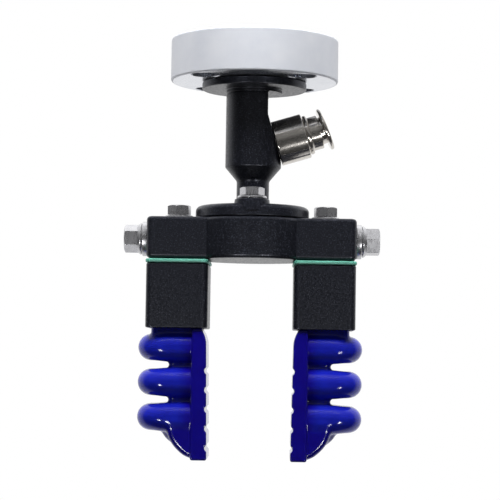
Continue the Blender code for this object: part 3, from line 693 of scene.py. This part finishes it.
def make_collet():
    start = COLLET_FLANGE_START - COLLET_LEAN_CENTRE
    end = COLLET_FLANGE_END - COLLET_LEAN_CENTRE
    inner = COLLET_INNER_END - COLLET_LEAN_CENTRE
    collet = turned("release_collet_shell", rounded([
        (COLLET_BORE_RADIUS, end, 0.5), (COLLET_FLANGE_RADIUS, end, 0.65),
        (COLLET_FLANGE_RADIUS, start, 0.55), (COLLET_RADIUS, start, 0.3),
        (COLLET_RADIUS, inner, 0.2), (COLLET_BORE_RADIUS, inner, 0.1),
    ], closed=True, steps=6), ring=True)
    lean = Matrix.Translation((0, 0, COLLET_LEAN_CENTRE * MM)) @ Matrix.Rotation(-COLLET_LEAN, 4, "Y")
    collet.data.transform(fitting_matrix() @ lean)
    finish_piece(collet, NICKEL, "release_collet", body="collet")


def hex_head(name, across_flats, low, high, turn=0.0):
    """A hexagon head with rounded corners and a turned chamfer round its top."""
    head = plate(name, hexagon(across_flats, 0.25, turn), low, high)
    corner = across_flats / 2 / math.cos(math.radians(30))
    land = across_flats / 2 * HEAD_LAND_SHARE
    past = corner + 1
    limit = turned("limit", [
        (0, high), (land, high), (past, high - (past - land) * math.tan(HEAD_CHAMFER)),
        (past, low - 1), (0, low - 1),
    ], SMALL_STEPS)
    return combine(head, limit, "INTERSECT")


def make_bolt(node, x, y, head_height, turn=0.0):
    low, high = extent(node)
    seat = high[2] - head_height
    bolt = hex_head(f"{node}_body", BOLT_ACROSS_FLATS, seat, high[2], turn)
    end = low[2]
    shank = turned("shank", [
        (0, seat + 1), (BOLT_RADIUS, seat + 1), (BOLT_RADIUS, end + 0.6), (BOLT_RADIUS - 0.6, end), (0, end),
    ], SMALL_STEPS)
    join(bolt, shank)
    finish_piece(moved(bolt, x, y), STEEL, node)


def make_washer(node, x, y):
    low, high = extent(node)
    washer = turned(f"{node}_body", rounded([
        (WASHER_RADIUS, high[2], 0.3), (WASHER_RADIUS, low[2], 0.15),
        (BOLT_HOLE_RADIUS, low[2], 0.1), (BOLT_HOLE_RADIUS, high[2], 0.1),
    ], closed=True, steps=4), ring=True)
    finish_piece(moved(washer, x, y), STEEL, node)


def make_cap():
    bottom = CAP_LOW[2]
    cap = turned("hub_cap_body", rounded([
        (0, CAP_TOP, 0), (CAP_RADIUS, CAP_TOP, 2.0), (CAP_RADIUS, bottom, 0.3), (0, bottom, 0),
    ], steps=8))
    foot = CAP_TOP - LUG_DEPTH
    for y in (-CAP_BOLT_Y, CAP_BOLT_Y):
        lug = turned("lug", rounded([
            (0, LUG_TOP, 0), (LUG_RADIUS, LUG_TOP, 0.5), (LUG_RADIUS + LUG_FLARE, foot, 0), (0, foot, 0),
        ]), SMALL_STEPS)
        join(cap, moved(lug, 0, y))
    for side, y in (("front", -CAP_BOLT_Y), ("rear", CAP_BOLT_Y)):
        cut(cap, drill(BOLT_HOLE_RADIUS, bottom - 1, LUG_TOP + 1, 0, y))
        make_washer(f"cap_washer_{side}", 0, y)
        make_bolt(f"cap_bolt_{side}", 0, y, CAP_BOLT_HEAD_HEIGHT)
    cut(cap, drill(CAP_BORE_RADIUS, bottom - 1, CAP_TOP + 1, 0, 0, 0.3))
    finish_piece(cap, BLACK, "hub_cap")


def manifold_outline():
    """Two wings with rounded corners and the round hub between them."""
    half = WING_DEPTH / 2
    meet = math.asin(half / HUB_RADIUS)
    wing = rounded([
        (0, -half, 0), (BODY_HIGH[0], -half, WING_CORNER), (BODY_HIGH[0], half, WING_CORNER), (0, half, 0),
    ])[1:-1]
    steps = 24
    hub = [meet + (math.pi - 2 * meet) * step / steps for step in range(steps + 1)]
    upper = [(HUB_RADIUS * math.cos(a), HUB_RADIUS * math.sin(a)) for a in hub]
    other = [(-x, -y) for x, y in wing]
    lower = [(-x, -y) for x, y in upper]
    return wing + upper + other + lower


def make_manifold():
    body = plate("manifold_body_shell", manifold_outline(), BODY_LOW[2], BODY_HIGH[2], WING_EDGE)
    ports = []
    for side in (-1, 1):
        port = turned("port", [
            (0, 1), (PORT_RADIUS, 1), (PORT_RADIUS, -PORT_DEPTH), (0, -PORT_DEPTH),
        ], SMALL_STEPS)
        port.data.transform(Matrix.Rotation(side * math.radians(90), 4, "Y"))
        ports.append(moved(port, side * BODY_HIGH[0], 0, CHANNEL_Z))
        ports.append(drill(
            WING_HOLE_RADIUS, BODY_LOW[2] - 1, BODY_HIGH[2] + 1, side * FINGER_BOLT_X, 0, 0.3,
        ))
    cut(body, *ports)
    finish_piece(body, BLACK, "manifold_body")


def make_plug(side_name, side):
    seat = BODY_HIGH[0] + GAP
    turn = Matrix.Translation((0, 0, CHANNEL_Z * MM)) @ Matrix.Rotation(side * math.radians(90), 4, "Y")
    washer = turned(f"plug_washer_{side_name}_body", rounded([
        (PLUG_WASHER_RADIUS, seat + PLUG_WASHER_THICKNESS, 0.35), (PLUG_WASHER_RADIUS, seat, 0.25),
        (PLUG_WASHER_HOLE_RADIUS, seat, 0.1), (PLUG_WASHER_HOLE_RADIUS, seat + PLUG_WASHER_THICKNESS, 0.1),
    ], closed=True, steps=5), ring=True)
    washer.data.transform(turn)
    finish_piece(washer, STEEL, f"plug_washer_{side_name}")
    flange = seat + PLUG_WASHER_THICKNESS + GAP
    shoulder = flange + PLUG_FLANGE_THICKNESS
    waist = PLUG_ACROSS_FLATS / 2 + 0.3
    end = BODY_HIGH[0] - PLUG_THREAD_LENGTH
    plug = turned(f"air_plug_{side_name}_body", rounded([
        (0, shoulder + 2, 0), (waist, shoulder + 1.0, 0.3), (PLUG_FLANGE_RADIUS, shoulder - 0.1, 0.2),
        (PLUG_FLANGE_RADIUS, flange, 0.15), (PLUG_THREAD_RADIUS, flange, 0),
        (PLUG_THREAD_RADIUS, end, 0), (0, end, 0),
    ], steps=5))
    head = hex_head("plug_head", PLUG_ACROSS_FLATS, shoulder - 0.5, PLUG_HIGH[0], PLUG_TURN[side_name])
    join(plug, head)
    plug.data.transform(turn)
    finish_piece(plug, STEEL, f"air_plug_{side_name}")


# ---------------------------------------------------------------- finger mounts

def ordered(side, inner, outer):
    return (inner, outer) if side > 0 else (-outer, -inner)


def make_finger_mount(side_name, side):
    left, right = ordered(side, GASKET_LOW[0], GASKET_HIGH[0])
    middle = (GASKET_LOW[2] + GASKET_HIGH[2]) / 2
    rim = (GASKET_HIGH[2] - GASKET_LOW[2]) / 2
    gasket = plate(
        f"gasket_{side_name}_body", rectangle(left, right, GASKET_HIGH[1], WING_CORNER),
        middle - rim, middle + rim, rim * 0.7,
    )
    cut(gasket, drill(GASKET_HOLE_RADIUS, GASKET_LOW[2] - 1, GASKET_HIGH[2] + 1, side * FINGER_BOLT_X, 0))
    finish_piece(gasket, GASKET, f"gasket_{side_name}")

    left, right = ordered(side, BLOCK_LOW[0], BLOCK_HIGH[0])
    block = plate(
        f"finger_block_{side_name}_body", rectangle(left, right, BLOCK_HIGH[1], WING_CORNER),
        BLOCK_LOW[2], BLOCK_HIGH[2], 0.4, 0.5,
    )
    cavity = plate(
        "cavity", rectangle(left + BLOCK_WALL, right - BLOCK_WALL, BLOCK_HIGH[1] - BLOCK_WALL, CAVITY_CORNER),
        BLOCK_LOW[2] - 1, BLOCK_HIGH[2] - BLOCK_ROOF,
    )
    roof = BLOCK_HIGH[2] - BLOCK_ROOF
    cut(block, cavity, drill(ROOF_HOLE_RADIUS, roof - 1, BLOCK_HIGH[2] + 1, side * FINGER_BOLT_X, 0))
    finish_piece(block, BLACK, f"finger_block_{side_name}")
    make_washer(f"finger_washer_{side_name}", side * FINGER_BOLT_X, 0)
    turn = math.radians(90 + side * FINGER_BOLT_TWIST)
    make_bolt(f"finger_bolt_{side_name}", side * FINGER_BOLT_X, 0, FINGER_BOLT_HEAD_HEIGHT, turn)


# ---------------------------------------------------------------- silicone fingers

def smooth_min(a, b, width):
    share = np.clip(0.5 + 0.5 * (b - a) / width, 0, 1)
    return b * (1 - share) + a * share - width * share * (1 - share)


def rounded_distance(parts, radius):
    """Distance to where all parts are negative, with its edges rounded."""
    inset = [p + radius for p in parts]
    outside = np.sqrt(sum(np.maximum(p, 0) ** 2 for p in inset))
    return outside + np.minimum(np.maximum.reduce(inset), 0) - radius


def grip_face_x(z):
    top = BLOCK_LOW[2] - NECK_LENGTH
    lean = (top - z) / (top - FINGER_TIP)
    draw_back = DRAW_BACK * np.maximum(0, 1 - (BLOCK_LOW[2] - z) / DRAW_BACK_LENGTH) ** 2
    return PAD_TOP_X + (PAD_TIP_X - PAD_TOP_X) * lean + draw_back


def bulge_distance(x, y, z, centre):
    plan_x = x - (BULGE_OUTER_X - BULGE_PLAN_RADIUS)
    plan_y = np.abs(y) - (BULGE_HALF_WIDTH - BULGE_PLAN_RADIUS)
    plan = np.hypot(np.maximum(plan_x, 0), np.maximum(plan_y, 0))
    plan = plan + np.minimum(np.maximum(plan_x, plan_y), 0) - BULGE_PLAN_RADIUS
    taper = np.clip((x - CORE_OUTER_X) / BULGE_TAPER_LENGTH, 0, 1)
    half = BULGE_HALF_HEIGHT - (BULGE_HALF_HEIGHT - BULGE_END_RADIUS) * taper * taper * (3 - 2 * taper)
    distance = rounded_distance([plan, np.abs(z - centre) - half], BULGE_END_RADIUS)
    return np.maximum(distance, PAD_BACK_X - 1 - x)


def web_distance(x, y, z):
    drop = (FINGER_TIP + WEB_HEIGHT - z) / WEB_HEIGHT
    sweep = WEB_SWEEP * np.maximum(drop, 0) ** (WEB_SWEEP_POWER - 1)
    edge = WEB_TOP_X - WEB_TAPER * drop - sweep * np.maximum(drop, 0)
    slope = (WEB_TAPER + WEB_SWEEP_POWER * sweep) / WEB_HEIGHT
    outer = (x - edge) / np.sqrt(1 + slope * slope)
    parts = [
        outer, np.abs(y) - WEB_HALF_WIDTH, PAD_BACK_X - PAD_OVERLAP - x,
        z - BULGE_CENTRES[2], FINGER_TIP - z,
    ]
    return rounded_distance(parts, WEB_ROUNDING)


def lump_distance(x, y, z):
    reach = np.hypot(x - LUMP_PLACE[0], z - LUMP_PLACE[1]) - LUMP_RADIUS
    return rounded_distance([reach, np.abs(y) - LUMP_HALF_WIDTH], LUMP_ROUNDING)


def pad_distance(x, y, z):
    top = BLOCK_LOW[2] - 0.1
    face = grip_face_x(z)
    pad = rounded_distance([
        face - x, x - PAD_BACK_X, np.abs(y) - PAD_HALF_WIDTH, FINGER_TIP - z, z - top,
    ], PAD_ROUNDING)
    for index in range(GROOVE_COUNT):
        centre_z = GROOVE_FIRST - GROOVE_PITCH * index
        centre_x = grip_face_x(np.array(centre_z)) - GROOVE_CENTRE
        groove = np.hypot(x - centre_x, z - centre_z) - GROOVE_RADIUS
        pad = -smooth_min(-pad, groove, GROOVE_BLEND)
    return pad


def finger_distance(x, y, z):
    """Signed distance in millimetres to the skin of the finger on the +X side."""
    neck_parts = [
        BLOCK_LOW[0] + BLOCK_WALL + GAP - x, x - BLOCK_HIGH[0] + BLOCK_WALL + GAP,
        np.abs(y) - NECK_HALF_WIDTH, z - BLOCK_HIGH[2] + BLOCK_ROOF + NECK_DROP, BULGE_CENTRES[0] - z,
    ]
    body = rounded_distance(neck_parts, NECK_ROUNDING)
    core_parts = [
        x - CORE_OUTER_X, np.abs(y) - CORE_HALF_WIDTH, PAD_BACK_X - PAD_OVERLAP - x,
        z - BULGE_CENTRES[0], BULGE_CENTRES[2] - z,
    ]
    body = np.minimum(body, rounded_distance(core_parts, CORE_ROUNDING))
    for centre in BULGE_CENTRES:
        body = smooth_min(body, bulge_distance(x, y, z, centre), BULGE_BLEND)
    body = smooth_min(body, web_distance(x, y, z), WEB_BLEND)
    body = smooth_min(body, lump_distance(x, y, z), LUMP_BLEND)
    return smooth_min(body, pad_distance(x, y, z), PAD_BLEND)


def surface_net(field, origin, step):
    """Quads of the surface where the field crosses zero, with one point in each crossed cell."""
    inside = field < 0
    shape = [n - 1 for n in field.shape]
    corners = list(itertools.product((0, 1), repeat=3))
    count = np.zeros(shape, int)
    for i, j, k in corners:
        count += inside[i:i + shape[0], j:j + shape[1], k:k + shape[2]]
    crossed = (count > 0) & (count < 8)
    number = np.full(shape, -1)
    number[crossed] = np.arange(crossed.sum())
    cells = np.argwhere(crossed)
    total = np.zeros(cells.shape)
    hits = np.zeros(len(cells))
    for start, end in itertools.combinations(corners, 2):
        if sum(abs(a - b) for a, b in zip(start, end)) != 1:
            continue
        a = field[tuple((cells + start).T)]
        b = field[tuple((cells + end).T)]
        cross = (a < 0) != (b < 0)
        share = a[cross] / (a[cross] - b[cross])
        total[cross] += np.array(start) + share[:, None] * (np.array(end) - np.array(start))
        hits += cross
    points = origin + (cells + total / hits[:, None]) * step
    quads = []
    for axis in range(3):
        u, v = [np.eye(3, dtype=int)[(axis + shift) % 3] for shift in (1, 2)]
        first, second = [[slice(1, n - 1) for n in field.shape] for _ in range(2)]
        first[axis] = slice(0, -1)
        second[axis] = slice(1, None)
        first, second = inside[tuple(first)], inside[tuple(second)]
        for sign in (False, True):
            edges = np.argwhere((first != second) & (first == sign))
            edges[:, [i for i in range(3) if i != axis]] += 1
            ring = [edges - u - v, edges - v, edges, edges - u]
            if not sign:
                ring.reverse()
            quads.append(np.stack([number[tuple(r.T)] for r in ring], axis=1))
    return points, np.concatenate(quads)


def finger_skin():
    """Points, quads and normals of the +X finger's skin."""
    low = np.array([PAD_TIP_X - 1, -PAD_HALF_WIDTH - 1, FINGER_TIP - 1])
    high = np.array([BULGE_OUTER_X + 1, PAD_HALF_WIDTH + 1, BLOCK_HIGH[2] - BLOCK_ROOF - (NECK_DROP - 2)])
    axes = [np.arange(a, b, NET_STEP) for a, b in zip(low, high)]
    field = finger_distance(*np.meshgrid(*axes, indexing="ij"))
    points, quads = surface_net(field, low, NET_STEP)
    reach = 0.05
    for _ in range(3):
        slope = np.stack([
            finger_distance(*(points + reach * unit).T) - finger_distance(*(points - reach * unit).T)
            for unit in np.eye(3)
        ], axis=1) / (2 * reach)
        length = np.maximum((slope ** 2).sum(axis=1), 0.25)
        shift = finger_distance(*points.T) / length
        points = points - np.clip(shift, -0.2, 0.2)[:, None] * slope
    normals = slope / np.maximum(np.linalg.norm(slope, axis=1), 1e-9)[:, None]
    return points, quads, normals


def section_object(name, points, quads, normals):
    """A section of the skin, with the whole skin's normals, so that the seams don't show."""
    used, faces = np.unique(quads, return_inverse=True)
    faces = faces.reshape(quads.shape)
    mesh = bpy.data.meshes.new(name)
    mesh.from_pydata((points[used] * MM).tolist(), [], faces.tolist())
    mesh.shade_smooth()
    mesh.normals_split_custom_set_from_vertices(normals[used].tolist())
    mesh.materials.append(SILICONE)
    obj = bpy.data.objects.new(name, mesh)
    bpy.context.scene.collection.objects.link(obj)
    return obj


def make_fingers():
    points, quads, normals = finger_skin()
    height = points[quads].mean(axis=1)[:, 2]
    cuts = [1e6, *BULGE_CENTRES, -1e6]
    levels = ("upper", "middle", "lower")
    names = ("neck", "upper", "middle", "tip")
    for side_name, side in SIDES:
        flip = np.array([side, 1, 1])
        faces = quads if side > 0 else quads[:, ::-1]
        for index in range(4):
            chosen = faces[(height < cuts[index]) & (height >= cuts[index + 1])]
            name = f"finger_{side_name}_{names[index]}_skin"
            piece = section_object(name, points * flip, chosen, normals * flip)
            if index == 3:
                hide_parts(f"finger_{side_name}_lower")
                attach(piece, f"{side_name}_lower")
                continue
            replaced = f"finger_root_{side_name}" if index == 0 else f"finger_{side_name}_{levels[index - 1]}"
            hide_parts(replaced)
            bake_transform(piece)


# ---------------------------------------------------------------- carried-over nodes

def dress(material, *nodes):
    for node in nodes:
        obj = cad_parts[node]
        if not obj.material_slots:
            obj.data.materials.append(material)
        for slot in obj.material_slots:
            slot.material = material


# ---------------------------------------------------------------- camera, light and floor

def make_camera():
    data = bpy.data.cameras.new("camera")
    data.lens = CAMERA_LENS
    data.sensor_width = 36.0
    camera = bpy.data.objects.new("camera", data)
    bpy.context.scene.collection.objects.link(camera)
    place = Matrix.Translation(CAMERA_PLACE)
    aim = Matrix.Rotation(CAMERA_TURN, 4, "Z") @ Matrix.Rotation(CAMERA_PITCH, 4, "X")
    camera.matrix_world = place @ aim @ Matrix.Rotation(CAMERA_ROLL, 4, "Z")
    bpy.context.scene.camera = camera


def softbox(name, place, target, width, height, power, glossy, spread):
    """A white area light at a place, facing a target; both in metres. A glossy one is only
    seen in reflections, and the others only light what they face."""
    data = bpy.data.lights.new(name, "AREA")
    data.shape = "RECTANGLE"
    data.size = width
    data.size_y = height
    data.energy = power
    light = bpy.data.objects.new(name, data)
    bpy.context.scene.collection.objects.link(light)
    light.visible_camera = False
    light.visible_glossy = glossy
    light.visible_diffuse = not glossy
    data.spread = spread
    away = Vector(place) - Vector(target)
    light.matrix_world = Matrix.Translation(place) @ away.to_track_quat("Z", "Y").to_matrix().to_4x4()


def make_world():
    """A room that the camera sees as plain white. Reflections and shade see it bright behind
    the gripper, dimmer overhead and dark on the camera's side."""
    world = bpy.data.worlds.new("studio")
    bpy.context.scene.world = world
    world.use_nodes = True
    nodes = world.node_tree.nodes
    links = world.node_tree.links
    background = nodes["Background"]
    background.inputs["Color"].default_value = (1.0, 1.0, 1.0, 1.0)
    split = nodes.new("ShaderNodeSeparateXYZ")
    links.new(nodes.new("ShaderNodeTexCoord").outputs["Generated"], split.inputs["Vector"])
    total = None
    for axis, start, end, low, high in WORLD_BANDS:
        band = nodes.new("ShaderNodeMapRange")
        band.interpolation_type = "SMOOTHSTEP"
        for socket, number in zip(("From Min", "From Max", "To Min", "To Max"), (start, end, low, high)):
            band.inputs[socket].default_value = number
        links.new(split.outputs[axis], band.inputs["Value"])
        if total is None:
            total = band.outputs["Result"]
            continue
        add = nodes.new("ShaderNodeMath")
        add.operation = "ADD"
        links.new(total, add.inputs[0])
        links.new(band.outputs["Result"], add.inputs[1])
        total = add.outputs["Value"]
    seen = nodes.new("ShaderNodeMix")
    links.new(nodes.new("ShaderNodeLightPath").outputs["Is Camera Ray"], seen.inputs["Factor"])
    links.new(total, seen.inputs["A"])
    seen.inputs["B"].default_value = 1.0
    links.new(seen.outputs["Result"], background.inputs["Strength"])


def make_floor():
    """A pale floor well below the hanging gripper, left out of reflections."""
    bm = bmesh.new()
    bmesh.ops.create_circle(bm, cap_ends=True, radius=FLOOR_RADIUS, segments=128)
    floor = new_object("floor", bm)
    floor.location.z = FLOOR_HEIGHT
    floor.visible_glossy = False
    look = Look("pale_floor", (0.62, 0.62, 0.63), 0.6)
    look.rough(look.noise(30.0), 0.5, 0.7)
    floor.data.materials.append(look.material)


def main():
    make_camera()
    make_disc()
    make_stem_screws()
    make_stem()
    make_fitting()
    make_collet()
    make_cap()
    make_manifold()
    for side_name, side in SIDES:
        make_plug(side_name, side)
        make_finger_mount(side_name, side)
    make_fingers()
    dress(SEAL, "fitting_o_ring", "tube_seal", "hub_o_ring")
    dress(STEEL, "grip_ring", "clamp_plate_left", "clamp_plate_right")
    make_world()
    make_floor()
    for box in SOFTBOXES:
        softbox(*box)
    bpy.context.scene.view_settings.view_transform = "Standard"


main()
